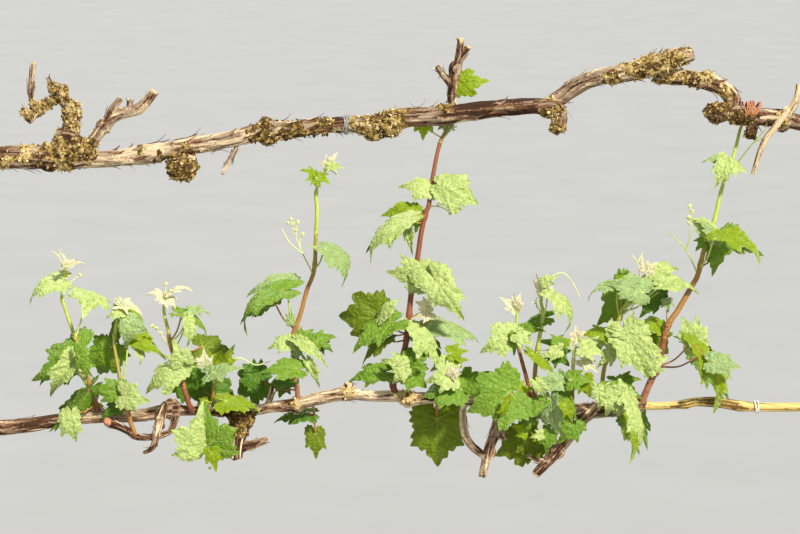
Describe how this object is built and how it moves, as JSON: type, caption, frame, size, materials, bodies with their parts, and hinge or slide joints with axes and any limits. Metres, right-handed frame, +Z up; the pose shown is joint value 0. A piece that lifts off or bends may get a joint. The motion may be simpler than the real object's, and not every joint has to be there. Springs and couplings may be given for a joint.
{
  "type": "grapevine",
  "caption": "Rooted grapevine with a flared leaning trunk, two woody arms trained to one side, stubby old spurs and young upright shoots carrying lobed spring leaves.",
  "frame": {"origin": "centre of the trunk's flat cut at ground level", "axes": "+Z up, +X along the trained arms, -Y toward the side seen in the picture"},
  "size_m": [1.2183, 0.1131, 1.3397],
  "materials": {
    "bark": "shaggy grey-brown bark in long strips with patches of cream lichen",
    "cane": "smooth straw-coloured one-year cane with fine long streaks",
    "dead_wood": "dry bleached bark and dead cane",
    "foliage": "young green leaves and shoots, matte above and paler below"
  },
  "bodies": {
    "root": {"trunk": "bark", "bark_flake": "dead_wood", "brown_spur": "bark", "dead_cane": "dead_wood", "front_branch": "bark", "hanging_knob": "bark", "lower_arm_1": "bark", "lower_arm_2": "bark", "lower_arm_3": "bark", "lower_arm_4": "bark", "lower_cane": "cane", "lower_knob": "bark", "old_spur_1": "bark", "old_spur_2": "bark", "stub_a": "bark", "stub_b": "bark", "stub_c": "bark", "thin_spur": "bark", "top_spur": "bark", "upper_arm_1": "bark", "upper_arm_2": "bark", "upper_arm_3": "bark", "upper_arm_4": "bark", "upper_arm_5": "bark", "upper_arm_6": "bark", "leaf_d_front": "foliage", "leaf_hang_e": "foliage", "leaf_hang_f": "foliage", "leaf_low_h": "foliage", "shoot_a": "foliage", "shoot_b": "foliage", "shoot_c": "foliage", "shoot_d": "foliage", "shoot_e": "foliage", "shoot_f": "foliage", "shoot_f_side": "foliage", "shoot_g": "foliage", "shoot_h": "foliage", "shoot_i": "foliage", "shoot_j": "foliage", "shoot_j_low": "foliage", "shoot_k": "foliage", "shoot_l": "foliage", "shoot_m": "foliage", "shoot_n": "foliage", "shoot_o": "foliage"}
  },
  "joints": []
}
